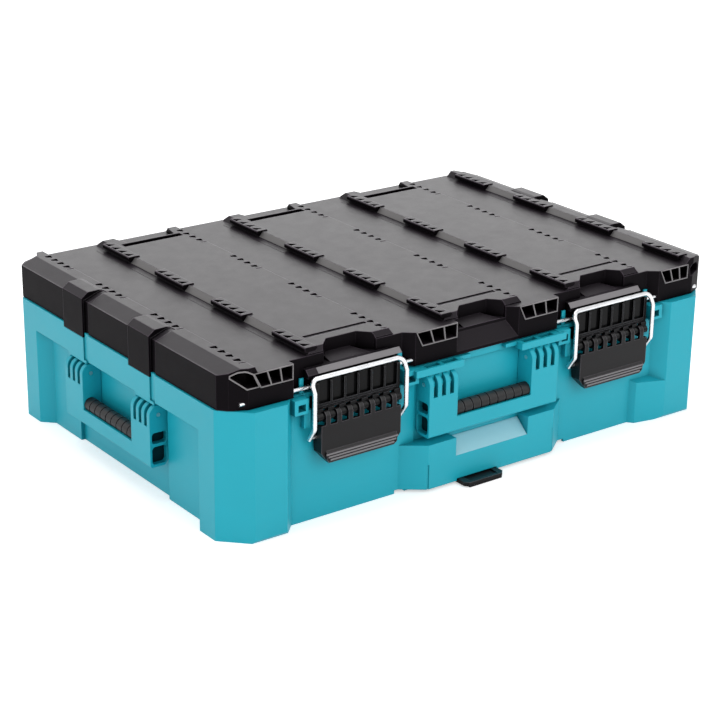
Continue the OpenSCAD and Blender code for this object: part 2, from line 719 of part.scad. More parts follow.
// open cells in the front blocks: n cells from x0 to x1, with dividers that lean less and less
function skew(k) = max(0, 7 - 2.4 * k);
cell_z = valley_z - 13.5;
module cells(x0, x1, n) {
    gap = 2;
    w = (x1 - x0 - gap * (n - 1)) / n;
    for (k = [0:n - 1]) {
        a = x0 + k * (w + gap);
        run_y(yf - 1, yf + cell_depth) polygon([[a + skew(k), cell_z], [a + w + skew(k + 1), cell_z],
            [a + w, cell_z + cell_h], [a, cell_z + cell_h]]);
    }
}
module front_cells() {
    cells(-hw + 32, -end_x - 2, 3);
    cells(block_2 + 2, block_2 + cell_block_w - 2, 3);
    cells(block_3 + 2, block_3 + cell_block_w - 2, 3);
    cells(end_x + 3, hw - 34, 3);
    // pocket on the right-hand corner
    translate([hw - 20, yf + 2, cell_z]) rotate([0, 0, 27])
        run_y(-3, 11) polygon([[-8, 0], [8, 2], [8, 8], [3, cell_h + 0.6], [-6, cell_h + 0.6],
            [-9.5, 8]]);
    // larger five-sided pocket that wraps round the left-hand corner beside the first cell
    translate([-hw + 20, yf + 2, cell_z]) rotate([0, 0, -27])
        run_y(-3, 11) polygon([[-11, cell_h - 1], [3, 0], [8, 0], [8, cell_h + 4.6], [2, cell_h + 4.6],
            [-4, cell_h + 4], [-11, cell_h + 1]]);
    translate([-hw, 0, cell_z]) run_y(yf - 1, yf + 10) polygon([[24, 0], [36, 0], [30, cell_h + 0.5],
        [24, cell_h + 4]]);
}

// thicker pieces over the joints of the lid's ends
module proud_pieces() {
    for (k = [0, 1]) for (s = [-1, 1]) scale_flip(s)
        run_y(module_y(k), module_y(k) + proud_w) polygon([[-hw, lid_z - skirt], [-hw, valley_z + 1.5],
            [-hw + 7, plateau_z + 0.8], [-lid_hw + bevel_w, plateau_z + tooth_up],
            [-lid_hw + bevel_w + 4, plateau_z + 0.4], [-lid_hw + bevel_w + 4, plateau_z - 0.5],
            [-lid_hw + 4, valley_z - 2], [-lid_hw + 4, lid_z], [-hw + skirt_t, lid_z],
            [-hw + skirt_t, lid_z - skirt]]);
}
skirt = 5; // how far those pieces hang over the tub's collar
skirt_t = 1.6;
module end_grooves() {
    for (k = [0, 1]) for (s = [-1, 1]) scale_flip(s)
        run_y(module_y(k) - groove_w, module_y(k) - 1) polygon([[-hw - 1, lid_z - 1],
            [-hw - 1, plateau_z + 2], [-lid_hw + bevel_w + 4.6, plateau_z + 2],
            [-lid_hw + bevel_w + 4.6, plateau_z - 0.4],
            [-lid_hw + bevel_w, plateau_z - 1.2], [-lid_hw + 2, valley_z - 1.5],
            [-lid_hw + 1.5, lid_z - 1]]);
}

// hollow of the lid
module lid_hollow() {
    translate([0, 0, lid_z - 1]) linear_extrude(lid_h + 1 - lid_wall)
        cut_plate(lid_hw - lid_wall, yf + 29, yb - lid_wall, lid_c);
    translate([0, 0, lid_z - 1]) linear_extrude(notch_z - lid_wall - lid_z + 1)
        cut_plate(lid_hw - 26, yf + 18, yf + 40, 3);
}
seal_w = 4;
seal_h = 3;
module seal_ring(lo, hi) {
    x = hw - 7;
    translate([0, 0, lo]) linear_extrude(hi - lo) difference() {
        cut_plate(x, yf + 12, yb - 9, lid_c);
        cut_plate(x - seal_w, yf + 12 + seal_w, yb - 9 - seal_w, lid_c - 2);
    }
}
// inner rib that holds the seal
module seal_rib() {
    translate([0, 0, lid_z]) linear_extrude(6) difference() {
        cut_plate(hw - 4, yf + 10, yb - 2, lid_c + 3);
        cut_plate(hw - 14, yf + 18.5, yb - 16, lid_c - 4);
    }
}

module lid_shell() {
    color(charcoal) difference() {
        union() {
            difference() {
                union() {
                    translate([0, 0, lid_z]) linear_extrude(valley_z - lid_z) lid_plan();
                    plateaus();
                    rail_blocks();
                }
                lid_hollow();
                plateau_notches();
                front_cells();
            }
            proud_pieces();
            notch_wedges();
            latch_ledges();
            handle_apron();
            seal_rib();
            pair_x(hinge_x) hinge_row(1, 0);
        }
        rail_pockets();
        edge_notches();
        top_slots();
        end_grooves();
        seal_ring(lid_z - 1, lid_z + seal_h - 0.3);
        pair_x(hinge_x) hinge_row(0, side_gap + 0.2);
        pair_x(hinge_x) bar_x(-hinge_len / 2 - 1, hinge_len / 2 + 1, hinge_y, hinge_z,
            hinge_pin_d + 2 * run_gap);
        // bores for the keeper rods
        for (s = [-1, 1]) scale_flip(s) rod(-1);
    }
}
module lid_seal() {
    color(black) seal_ring(rim_z + 0.3, lid_z + seal_h - 0.3);
}
rod_in = 3.4; // the rod's distance behind the lid's front
rod_x0 = hw - 17; // outer and inner ends of the rod
rod_x1 = cell_block_x + cell_block_w - 8;
module rod(s) {
    bar_x(-rod_x0, -rod_x1, yf + rod_in, rod_z, rod_d);
}
module keeper_rod(s) {
    color(steel) scale_flip(s) rod(s);
}

module hinge_pin(s) {
    color(steel) translate([s * hinge_x, 0, 0])
        bar_x(-hinge_len / 2 - 0.5, hinge_len / 2 + 0.5, hinge_y, hinge_z, hinge_pin_d);
}

// ---------- latches ----------

pivot_y = yf - pivot_out;
bail_pivot_y = yf - 2;
plate_f = yf - 5; // front face of the bracket
plate_b = yf - 1.2; // back face of the bracket above the rim
plate_z = pivot_z + knuckle_r + 1.5; // lower edge of the bracket's plate
knuckle_w = finger_pitch - finger_w - 2 * side_gap;
rib_pitch = 15;

module latch_bracket(s) {
    color(black) translate([s * latch_x, 0, 0]) difference() {
        union() {
            block([-bracket_w / 2, plate_f, plate_z], [bracket_w / 2, plate_b, bracket_top]);
            block([-bracket_w / 2, plate_f, plate_z], [bracket_w / 2, panel_y, rim_z - 4]);
            for (k = [0:fingers]) {
                x = (k - fingers / 2) * finger_pitch;
                bar_x(x - knuckle_w / 2, x + knuckle_w / 2, pivot_y, pivot_z, 2 * knuckle_r - 3.4);
                block([x - knuckle_w / 2, pivot_y - 1, pivot_z - 1], [x + knuckle_w / 2, plate_b, plate_z + 1]);
            }
        }
        // hollows between the ribs
        for (k = [0:5]) {
            x = (k - 2.5) * rib_pitch;
            block([x - rib_pitch / 2 + 1.1, plate_f - 1, plate_z + 5.6],
                [x + rib_pitch / 2 - 1.1, plate_f + 2.7, bracket_top + 1]);
        }
        // two fine steps below them
        for (z = [plate_z + 2, plate_z + 3.9])
            block([-bracket_w / 2 + 3, plate_f - 1, z - 0.4], [bracket_w / 2 - 3, plate_f + 0.5, z + 0.4]);
        // sloped top corners of the plate
        run_x(-bracket_w, bracket_w) polygon([[plate_f - 1, bracket_top - 2],
            [plate_f + 2, bracket_top + 1], [plate_f - 1, bracket_top + 1]]);
        bar_x(-bracket_w, bracket_w, pivot_y, pivot_z, latch_pin_d);
        // room in which the fingers turn
        for (k = [0:fingers - 1]) {
            x = (k - (fingers - 1) / 2) * finger_pitch;
            bar_x(x - finger_w / 2 - side_gap, x + finger_w / 2 + side_gap, pivot_y, pivot_z,
                2 * knuckle_r + 2 * side_gap);
        }
    }
}
module latch_pin(s) {
    w = fingers * finger_pitch + knuckle_w;
    color(steel) translate([s * latch_x, 0, 0]) bar_x(-w / 2, w / 2, pivot_y, pivot_z, latch_pin_d);
}

// profile of the lever in the YZ plane, cheeks included
module cheek_profile() {
    f = pivot_y - knuckle_r;
    polygon([[f - 1.6, lever_low + 3], [f - 0.6, lever_low + 0.6], [f + 1, lever_low], [f + 5, lever_low + 0.4],
        [f + 9, lever_low + 4], [f + cheek_depth - 1, lever_low + 10], [f + cheek_depth, lever_low + 17],
        [f + cheek_depth, lever_top - 9], [f + cheek_depth - 5, lever_top - 1], [f + 3, lever_top],
        [f, lever_top], [f, lever_low + 13], [f - 1.6, lever_low + 11]]);
}
lever_top = pivot_z - knuckle_r - 1.5; // upper edge of the lever's plate
lever_cut = 8.5; // width of the slanted lower corners of the lever
lever_cut_h = 11; // their height
// front outline of the lever in the XZ plane, its walls moved inwards by i
module lever_outline(i) {
    w = lever_w / 2 - i;
    polygon([[-w, lever_top + i], [w, lever_top + i], [w, lever_low + lever_cut_h + i / 2],
        [w - lever_cut, lever_low + i], [-w + lever_cut, lever_low + i],
        [-w, lever_low + lever_cut_h + i / 2]]);
}
module latch_lever(s) {
    f = pivot_y - knuckle_r;
    color(black) translate([s * latch_x, 0, 0]) difference() {
        union() {
            difference() {
                intersection() {
                    run_x(-lever_w / 2, lever_w / 2) cheek_profile();
                    run_y(f - 3, f + 30) lever_outline(0);
                }
                // hollow behind the plate
                run_y(f + lever_t, f + 31) lever_outline(lever_t);
                // the grip zone's sides are drawn in
                both() block([-lever_w / 2 - 1, f - 3, lever_low - 1], [-lever_w / 2 + 5, f, lever_top]);
            }
            for (k = [0:fingers - 1]) {
                x = (k - (fingers - 1) / 2) * finger_pitch;
                bar_x(x - finger_w / 2, x + finger_w / 2, pivot_y, pivot_z, 2 * knuckle_r);
                block([x - finger_w / 2, f, lever_top - 2], [x + finger_w / 2, f + lever_t, pivot_z]);
            }
        }
        bar_x(-lever_w, lever_w, pivot_y, pivot_z, latch_pin_d + 2 * run_gap);
        // bores for the bail's ends
        bar_x(-lever_w, lever_w, bail_pivot_y, bail_pivot_z, wire_d - 1 + 2 * run_gap);
        // grip lines
        for (k = [0:2])
            block([-lever_w / 2 + lever_cut + 1, f - 3, lever_low + 3.4 + 2.8 * k],
                [lever_w / 2 - lever_cut - 1, f - 0.7, lever_low + 4.5 + 2.8 * k]);
    }
}

// bent wire: top bar, two legs and two ends turned into the lever's cheeks
bar_y = yf - 3.5;
leg_y = yf - 9.5;
bail_bend = 7; // radius of the bends beside the top bar
leg_bend = 5; // radius of the bends in the legs
lap = 0.3; // length by which straight wire runs into a bend
straight_d = wire_d - 0.08; // straight wire, a hair thinner than its bends
module latch_bail(s) {
    x = bail_x;
    knee = [leg_y, bar_z - 11];
    ankle = [leg_y, bail_pivot_z + 11];
    foot = [bail_pivot_y, bail_pivot_z];
    drop = norm([bar_y - leg_y, 11]);
    knee_a = atan2(bar_y - leg_y, 11);
    ankle_a = atan2(foot[0] - leg_y, 11);
    knee_t = leg_bend * tan(knee_a / 2);
    ankle_t = leg_bend * tan(ankle_a / 2);
    stub = lever_w / 2 - lever_t - 1;
    color(steel) translate([s * latch_x, 0, 0]) {
        // top bar, its two bends and the slanted part of the legs
        translate([0, bar_y, bar_z]) rotate([-knee_a, 0, 0]) {
            bar_x(-x + bail_bend - lap, x - bail_bend + lap, 0, 0, straight_d, $fn = 48);
            both() translate([x - bail_bend, 0, -bail_bend]) rotate([90, 0, 0])
                rotate_extrude(angle = 90, $fn = 48) translate([bail_bend, 0]) circle(d = wire_d);
            pair_x(x) translate([0, 0, knee_t - drop - lap])
                cylinder(h = drop - knee_t - bail_bend + 2 * lap, d = straight_d, $fn = 48);
        }
        for (m = [-1, 1]) {
            elbow(m * x, leg_y + leg_bend, knee[1] - knee_t, leg_bend, 180 - knee_a, 180, wire_d);
            leg(m * x, knee, ankle, straight_d, knee_t - lap, ankle_t - lap);
            elbow(m * x, leg_y + leg_bend, ankle[1] + ankle_t, leg_bend, 180, 180 + ankle_a, wire_d);
            leg(m * x, ankle, foot, straight_d, ankle_t - lap, -1.9);
            bar_x(min(m * x, m * stub), max(m * x, m * stub), foot[0], foot[1], wire_d - 1);
        }
    }
}

// ---------- handles ----------
// A handle is drawn hanging, its pivot on the X axis and its front face towards -Y.

handle_f = -handle_round;
handle_b = handle_t - handle_round;
bar_b = crossbar_t - handle_round; // back of the bar between the arms
grip_y = (handle_f + bar_b) / 2;
grip_z = -handle_drop + crossbar_h + 4.5; // centre of the grip
grip_half = handle_len / 2 - arm_w;

module place_front_handle() {
    translate([0, yf - handle_out + handle_round, handle_pivot_z]) children();
}
module place_left_handle() {
    translate([-hw + side_pivot_in, side_mid, side_pivot_z]) rotate([0, 0, -90]) children();
}
module place_right_handle() {
    translate([hw - side_pivot_in, side_mid, side_pivot_z]) rotate([0, 0, 90]) children();
}

// outline of an arm in the YZ plane
module arm_profile() {
    circle(r = handle_round, $fn = 48);
    polygon([[handle_f, 0], [handle_f, -handle_drop + 1.5], [handle_f + 1.5, -handle_drop],
        [handle_b - 5, -handle_drop], [handle_b, -handle_drop + 6], [handle_b, 0]]);
    // the back of its top is round about the pivot, so that it turns inside its bay
    intersection() {
        circle(r = handle_b, $fn = 48);
        square([handle_b, handle_round]);
    }
}
module handle_frame() {
    difference() {
        union() {
            for (s = [-1, 1]) {
                x = s * (handle_len / 2 - arm_w / 2);
                run_x(x - arm_w / 2, x + arm_w / 2) arm_profile();
            }
            run_x(-grip_half - 1, grip_half + 1) polygon([[handle_f, -handle_drop + 1.5],
                [handle_f + 1.5, -handle_drop], [bar_b - 4, -handle_drop],
                [bar_b, -handle_drop + 5], [bar_b, -handle_drop + crossbar_h - 4],
                [bar_b - 3, -handle_drop + crossbar_h], [handle_f, -handle_drop + crossbar_h]]);
        }
        // slots that make four fingers of each arm
        for (s = [-1, 1], k = [1:3]) {
            x = s * (handle_len / 2 - arm_w / 2) + (k - 2) * slot_step;
            block([x - slot_w / 2, handle_f - 1, -11.5], [x + slot_w / 2, handle_b + 1, handle_round + 1]);
        }
        // two windows in each end
        for (s = [-1, 1]) {
            x = s * (handle_len / 2);
            window(x, -28.5, -17.5, 3);
            window(x, -handle_drop + 2.6, -31.5, 3.5);
        }
        bar_x(-handle_len, handle_len, 0, 0, handle_pin_d);
        bar_x(-grip_half, grip_half, grip_y, grip_z, grip_d);
    }
}
// rounded pocket in an arm's outer end between two heights
module window(x, z0, z1, r) {
    deep = 22;
    run_x(x - deep, x + deep) {
        translate([handle_f + 2.2 + r, z0 + r]) circle(r = r);
        translate([handle_b - 2.2 - r, z1 - r]) circle(r = r);
        translate([handle_f + 2.2 + r, z1 - r]) circle(r = r);
        translate([handle_b - 2.2 - r, z0 + r]) circle(r = r);
        translate([handle_f + 2.2, z0 + r]) square([handle_t - 4.4, z1 - z0 - 2 * r]);
        translate([handle_f + 2.2 + r, z0]) square([handle_t - 4.4 - 2 * r, z1 - z0]);
    }
}
// ribbed bar between the arms
module handle_grip() {
    ribs = 9;
    step = 2 * grip_half / ribs;
    difference() {
        bar_x(-grip_half, grip_half, grip_y, grip_z, grip_d);
        for (k = [1:ribs - 1])
            translate([-grip_half + k * step, grip_y, grip_z]) rotate([0, 90, 0])
                difference() {
                    cylinder(h = 1.6, d = grip_d + 2, center = true);
                    cylinder(h = 2, d = grip_d - 1.6, center = true);
                }
    }
}
module handle_pins() {
    for (s = [-1, 1]) {
        x = s * (handle_len / 2 - arm_w / 2);
        bar_x(x - arm_w / 2 - 0.3, x + arm_w / 2 + 0.3, 0, 0, handle_pin_d);
    }
}

base_shell();
lock_guide();
lock_tab();
lock_spring();
lid_shell();
lid_seal();
hinge_pin(-1);  // hinge_pin_left
hinge_pin(1);  // hinge_pin_right
latch_bracket(-1);  // latch_bracket_left
latch_bracket(1);  // latch_bracket_right
latch_pin(-1);  // latch_pin_left
latch_pin(1);  // latch_pin_right
latch_lever(-1);  // latch_lever_left
latch_lever(1);  // latch_lever_right
latch_bail(-1);  // latch_bail_left
latch_bail(1);  // latch_bail_right
keeper_rod(-1);  // keeper_rod_left
keeper_rod(1);  // keeper_rod_right
color(teal) place_front_handle() handle_frame();  // front_handle_frame
color(black) place_front_handle() handle_grip();  // front_handle_grip
color(steel) place_front_handle() handle_pins();  // front_handle_pins
color(teal) place_left_handle() handle_frame();  // left_handle_frame
color(black) place_left_handle() handle_grip();  // left_handle_grip
color(steel) place_left_handle() handle_pins();  // left_handle_pins
color(teal) place_right_handle() handle_frame();  // right_handle_frame
color(black) place_right_handle() handle_grip();  // right_handle_grip
color(steel) place_right_handle() handle_pins();  // right_handle_pins
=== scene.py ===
import json
import math

import bmesh
import bpy
from mathutils import Matrix, Vector


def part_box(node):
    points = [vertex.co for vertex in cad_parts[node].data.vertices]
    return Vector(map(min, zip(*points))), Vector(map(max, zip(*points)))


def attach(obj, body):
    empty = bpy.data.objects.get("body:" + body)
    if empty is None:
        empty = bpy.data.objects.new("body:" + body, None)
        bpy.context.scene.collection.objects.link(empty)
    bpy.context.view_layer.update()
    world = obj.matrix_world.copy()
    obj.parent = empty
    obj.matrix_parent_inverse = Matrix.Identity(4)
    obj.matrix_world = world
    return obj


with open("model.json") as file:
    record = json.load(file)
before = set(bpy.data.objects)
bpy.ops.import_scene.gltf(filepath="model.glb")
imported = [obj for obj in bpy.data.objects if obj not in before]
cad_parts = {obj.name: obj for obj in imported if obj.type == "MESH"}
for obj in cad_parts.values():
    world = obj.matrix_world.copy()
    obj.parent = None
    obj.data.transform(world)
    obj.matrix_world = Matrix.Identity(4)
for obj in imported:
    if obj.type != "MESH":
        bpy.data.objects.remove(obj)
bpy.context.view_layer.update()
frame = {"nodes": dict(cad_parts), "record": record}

scene = bpy.context.scene
PIVOT = {j["child"]: j["pos_m"] for j in frame["record"]["behaviour"]["joints"] if j["type"] == "hinge"}

# ---------------------------------------------------------------- camera
# Fitted to the photograph's vanishing lines.
PHOTO_PX = 720
FOCAL_PX = 1961.98
SENSOR_W = 36
CAM_AT = Vector((-1.1449, -1.5115, 0.7958))
CAM_AZ, CAM_EL, CAM_ROLL = -36.866, 21.369, 0.856  # degrees
CLIP_NEAR, CLIP_FAR = 0.05, 30


def make_camera():
    """Camera at the place and angle that the photograph was taken from."""
    az, el, roll = (math.radians(angle) for angle in (CAM_AZ, CAM_EL, CAM_ROLL))
    back = Vector((math.sin(az) * math.cos(el), -math.cos(az) * math.cos(el), math.sin(el)))
    level = Vector((0, 0, 1)).cross(back).normalized()
    upright = back.cross(level)
    x = math.cos(roll) * level + math.sin(roll) * upright
    y = -math.sin(roll) * level + math.cos(roll) * upright
    camera = bpy.data.objects.new("camera", bpy.data.cameras.new("camera"))
    scene.collection.objects.link(camera)
    camera.data.sensor_width = SENSOR_W
    camera.data.lens = SENSOR_W * FOCAL_PX / PHOTO_PX
    camera.data.clip_start = CLIP_NEAR
    camera.data.clip_end = CLIP_FAR
    camera.matrix_world = Matrix(((x.x, y.x, back.x, CAM_AT.x), (x.y, y.y, back.y, CAM_AT.y),
                                  (x.z, y.z, back.z, CAM_AT.z), (0, 0, 0, 1)))
    scene.camera = camera


# ---------------------------------------------------------------- materials
class Nodes:
    """Adds nodes and links to the node tree of one material or world."""

    def __init__(self, owner):
        owner.use_nodes = True
        self.tree = owner.node_tree

    def add(self, kind, values=None, **props):
        node = self.tree.nodes.new(kind)
        for key, value in props.items():
            setattr(node, key, value)
        for key, value in (values or {}).items():
            node.inputs[key].default_value = value
        return node

    def link(self, start, end):
        self.tree.links.new(start, end)

    def noise(self, coords, scale, detail, rough, squeeze=None):
        """Cloudy noise; squeeze is how much closer its clouds lie along each axis."""
        if squeeze:
            mapping = self.add("ShaderNodeMapping", {"Scale": squeeze})
            self.link(coords, mapping.inputs["Vector"])
            coords = mapping.outputs["Vector"]
        node = self.add("ShaderNodeTexNoise", {"Scale": scale, "Detail": detail, "Roughness": rough})
        self.link(coords, node.inputs["Vector"])
        return node.outputs["Fac"]

    def spread(self, value, lo, hi, to_lo, to_hi):
        """Maps lo to hi onto to_lo to to_hi, and holds what lies beyond at the ends."""
        node = self.add("ShaderNodeMapRange",
                        {"From Min": lo, "From Max": hi, "To Min": to_lo, "To Max": to_hi})
        self.link(value, node.inputs["Value"])
        return node.outputs["Result"]

    def mix(self, share, a, b, blend="MIX"):
        """Blends two colours, each a socket or three numbers."""
        node = self.add("ShaderNodeMix", data_type="RGBA", blend_type=blend)
        self.link(share, node.inputs[0])
        for socket, colour in ((node.inputs[6], a), (node.inputs[7], b)):
            if hasattr(colour, "links"):
                self.link(colour, socket)
            else:
                socket.default_value = (*colour, 1)
        return node.outputs[2]

    def combine(self, operation, a, b, clamp=False):
        """Adds or multiplies the socket a and b, which is a socket or a number."""
        node = self.add("ShaderNodeMath", operation=operation, use_clamp=clamp)
        self.link(a, node.inputs[0])
        if hasattr(b, "links"):
            self.link(b, node.inputs[1])
        else:
            node.inputs[1].default_value = b
        return node.outputs[0]

    def seen(self):
        """1 for rays that look at a surface, also by reflection or through glass, 0 for the others."""
        path = self.add("ShaderNodeLightPath")
        rays = self.combine("ADD", path.outputs["Is Camera Ray"], path.outputs["Is Glossy Ray"])
        return self.combine("ADD", rays, path.outputs["Is Transmission Ray"], clamp=True)


# noises, with scales in clouds per metre
CLOUD = {"scale": 7, "detail": 4, "rough": 0.55}
FLOW = {"scale": 16, "detail": 3, "rough": 0.6, "squeeze": (1, 1, 4)}
HAZE = {"scale": 30, "detail": 5, "rough": 0.7}
PLATING = {"scale": 45, "detail": 4, "rough": 0.6}
FINE = {"scale": 70, "detail": 3, "rough": 0.6}
STREAK = {"scale": 500, "detail": 3, "rough": 0.6}
GRAIN = {"detail": 2, "rough": 0.6}
BULK = (0.3, 0.7)  # the range that most of a noise's values lie in

HOLLOW_REACH = 0.012  # how far round a spot the shading of hollows looks
SHADE_SAMPLES = 6
GRAIN_DEEP = 0.00012
STREAK_DEEP = 0.00008
DUST_RGB = (0.4, 0.4, 0.4)
ROUGH_FINE = 0.02  # how far the fine noise and the clouds move the roughness
ROUGH_CLOUD = 0.006


def tone(rgb, gain):
    return tuple(min(1.0, channel * gain) for channel in rgb)


def edge_highlights(m, rounded, fine, sky):
    """Painted highlight on edges that stand out, where the rounded normal turns from the flat one: how much
    paler a spot is made.
    """
    turn = m.add("ShaderNodeVectorMath", operation="DOT_PRODUCT")
    m.link(rounded, turn.inputs[0])
    m.link(m.add("ShaderNodeNewGeometry").outputs["Normal"], turn.inputs[1])
    glint = m.spread(turn.outputs["Value"], 0.99, 0.9, 0, 1)
    glint = m.combine("MULTIPLY", glint, m.spread(fine, *BULK, 0.6, 1.0), clamp=True)
    return m.combine("MULTIPLY", glint, m.spread(sky, 0.7, 0.92, 0, 1), clamp=True)


def plastic(name, rgb, rough, *, edge, edge_gain, spec, dust, hollow, radius=0.0010, grain=0.25,
            grain_scale=1500, mottle=0.06, alone=False, side=1.0):
    """Moulded plastic: fine grain, soft cloudy tone, softened edges with painted highlights, painted shade in
    hollows.

    edge and edge_gain say how much paler the painted edge highlights are and how much of that shows,
    radius how wide they are, hollow how much darker the painted shade in hollows is, and alone
    whether only the piece's own walls cast it. spec is the shine of upright and of top faces, and side
    the painted shade of upright faces, a factor on their colour.
    """
    material = bpy.data.materials.new(name)
    m = Nodes(material)
    bsdf = m.tree.nodes["Principled BSDF"]
    coords = m.add("ShaderNodeTexCoord")
    spot = coords.outputs["Object"]
    cloud = m.noise(spot, **CLOUD)
    fine = m.noise(spot, **FINE)
    body = m.mix(m.spread(cloud, *BULK, 0, 1), tone(rgb, 1 - mottle), tone(rgb, 1 + mottle))
    body = m.mix(m.spread(m.noise(spot, **FLOW), 0.45, 0.75, 0, 0.35), body, tone(rgb, 1 + 1.5 * mottle))
    # painted shade: hollows and joins are made darker, by how much of the sky a spot is shut off from
    shut = m.add("ShaderNodeAmbientOcclusion", {"Distance": HOLLOW_REACH}, samples=SHADE_SAMPLES,
                 only_local=alone)
    sky = shut.outputs["AO"]
    body = m.mix(m.spread(sky, 0.35, 0.95, 1, 0), body, tone(rgb, 1 - hollow))
    rounded = m.add("ShaderNodeBevel", {"Radius": radius}, samples=SHADE_SAMPLES).outputs["Normal"]
    # painted highlight: edges that stand out are made paler
    glint = edge_highlights(m, rounded, fine, sky)
    body = m.mix(m.combine("MULTIPLY", glint, edge_gain), body, tone(rgb, edge))
    # a little pale dust in patches
    body = m.mix(m.spread(m.noise(spot, **HAZE), 0.56, 0.8, 0, dust), body, DUST_RGB)
    # painted shade: upright faces are made darker than the top faces by side, and they shine less
    axes = m.add("ShaderNodeSeparateXYZ")
    m.link(coords.outputs["Normal"], axes.inputs["Vector"])
    up = axes.outputs["Z"]
    body = m.mix(m.spread(up, 0.1, 0.6, 1, 0), body, (side, side, side), "MULTIPLY")
    m.link(body, bsdf.inputs["Base Color"])
    shine = m.combine("MULTIPLY", m.spread(up, 0.2, 0.9, *spec), m.spread(sky, 0.3, 0.9, 0.3, 1))
    m.link(shine, bsdf.inputs["Specular IOR Level"])
    rough_fine = m.spread(fine, *BULK, rough - ROUGH_FINE, rough + ROUGH_FINE)
    rough_cloud = m.spread(cloud, *BULK, -ROUGH_CLOUD, ROUGH_CLOUD)
    m.link(m.combine("ADD", rough_fine, rough_cloud), bsdf.inputs["Roughness"])
    bump = m.add("ShaderNodeBump", {"Strength": grain, "Distance": GRAIN_DEEP})
    m.link(m.noise(spot, grain_scale, **GRAIN), bump.inputs["Height"])
    m.link(rounded, bump.inputs["Normal"])
    m.link(bump.outputs["Normal"], bsdf.inputs["Normal"])
    return material


def metal(name, rgb, rough, brushed):
    """Zinc-plated or plain steel: fine streaks and cloudy plating."""
    material = bpy.data.materials.new(name)
    m = Nodes(material)
    bsdf = m.tree.nodes["Principled BSDF"]
    spot = m.add("ShaderNodeTexCoord").outputs["Object"]
    streak = m.noise(spot, squeeze=brushed, **STREAK)
    plating = m.spread(m.noise(spot, **PLATING), 0.35, 0.7, 0, 1)
    m.link(m.mix(plating, tone(rgb, 0.82), tone(rgb, 1.08)), bsdf.inputs["Base Color"])
    bsdf.inputs["Metallic"].default_value = 1.0
    m.link(m.spread(streak, 0.25, 0.75, rough - 0.06, rough + 0.1), bsdf.inputs["Roughness"])
    bump = m.add("ShaderNodeBump", {"Strength": 0.25, "Distance": STREAK_DEEP})
    m.link(streak, bump.inputs["Height"])
    m.link(bump.outputs["Normal"], bsdf.inputs["Normal"])
    return material


MATS = {
    "tub_plastic": plastic("teal_plastic", (0.008, 0.365, 0.465), 0.42, edge=1.25, edge_gain=0.5,
                           spec=(0.34, 0.45), mottle=0.03, dust=0.008, hollow=0.55, alone=True),
    # the lid's upright faces get painted shade: side=0.35 makes their colour darker
    "lid_plastic": plastic("charcoal_plastic", (0.0135, 0.0104, 0.0138), 0.42, edge=14, edge_gain=0.7,
                           spec=(0.03, 0.25), grain=0.4, mottle=0.03, dust=0.001, hollow=0.8,
                           radius=0.0013, side=0.35),
    "latch_plastic": plastic("black_gloss_plastic", (0.004, 0.004, 0.0045), 0.2, edge=36, edge_gain=0.7,
                             spec=(0.1, 0.5), grain=0.08, mottle=0.05, dust=0.002, hollow=0.98,
                             radius=0.0009),
    "black_plastic": plastic("black_satin_plastic", (0.009, 0.0083, 0.0093), 0.34, edge=22,
                             edge_gain=0.75, spec=(0.15, 0.5), grain=0.3, mottle=0.05, dust=0.003,
                             hollow=0.85, radius=0.0011),
    "grip_rubber": plastic("black_rubber", (0.011, 0.011, 0.012), 0.45, edge=14, edge_gain=0.6,
                           spec=(0.25, 0.5), grain=0.6, grain_scale=900, mottle=0.1, dust=0.012,
                           hollow=0.85),
    "zinc_wire": metal("zinc_plate", (0.78, 0.79, 0.81), 0.26, (0.4, 1, 1)),
    "steel_pin": metal("plain_steel", (0.62, 0.63, 0.65), 0.3, (0.2, 1, 1)),
}
# pale plastic for the lever ridges and for the painted highlight on the lid's ledge bevels
PALE_RIDGE_AND_HIGHLIGHT = plastic("pale_ridge_and_highlight_plastic", (0.17, 0.162, 0.17), 0.36, edge=2, edge_gain=0.5,
                spec=(0.3, 0.5), grain=0.2, dust=0.01, hollow=0.3)
# pale plastic for the painted highlights on the cell rims
RIM_HIGHLIGHT = plastic("rim_highlight_plastic", (0.20, 0.19, 0.195), 0.4, edge=1.3, edge_gain=0.4, spec=(0.3, 0.5),
              grain=0.2, dust=0.01, hollow=0.3)
# pale charcoal for the painted reflection on the rails' slopes, a little smoother than the lid
SLOPE_SHEEN = plastic("sheen_charcoal_plastic", (0.12, 0.115, 0.115), 0.32, edge=1.5, edge_gain=0.3,
                spec=(0.3, 0.5), grain=0.15, dust=0.01, hollow=0.5)
SHADE = plastic("unlit_teal_plastic", (0.003, 0.035, 0.045), 0.6, edge=1, edge_gain=0.0,
                spec=(0.05, 0.1), dust=0.0, hollow=0.5)
# pale teal for the painted highlight on the finger ramp
RAMP_HIGHLIGHT = plastic("ramp_highlight_teal_plastic", (0.30, 0.60, 0.69), 0.35, edge=1.1, edge_gain=0.3,
                spec=(0.2, 0.4), mottle=0.02, dust=0.005, hollow=0.1)
SLOT_OF = {part["node"]: part["material_slot"] for part in frame["record"]["subparts"]}


def dress_solids():
    """Gives each solid the material of its slot."""
    for name, obj in frame["nodes"].items():
        material = MATS[SLOT_OF[name]]
        if not obj.material_slots:
            obj.data.materials.append(material)
        for slot in obj.material_slots:
            slot.material = material


# ---------------------------------------------------------------- small pieces that the solids carry
def carry(obj, body):
    """Puts a new piece into the scene, on its body."""
    scene.collection.objects.link(obj)
    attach(obj, body)


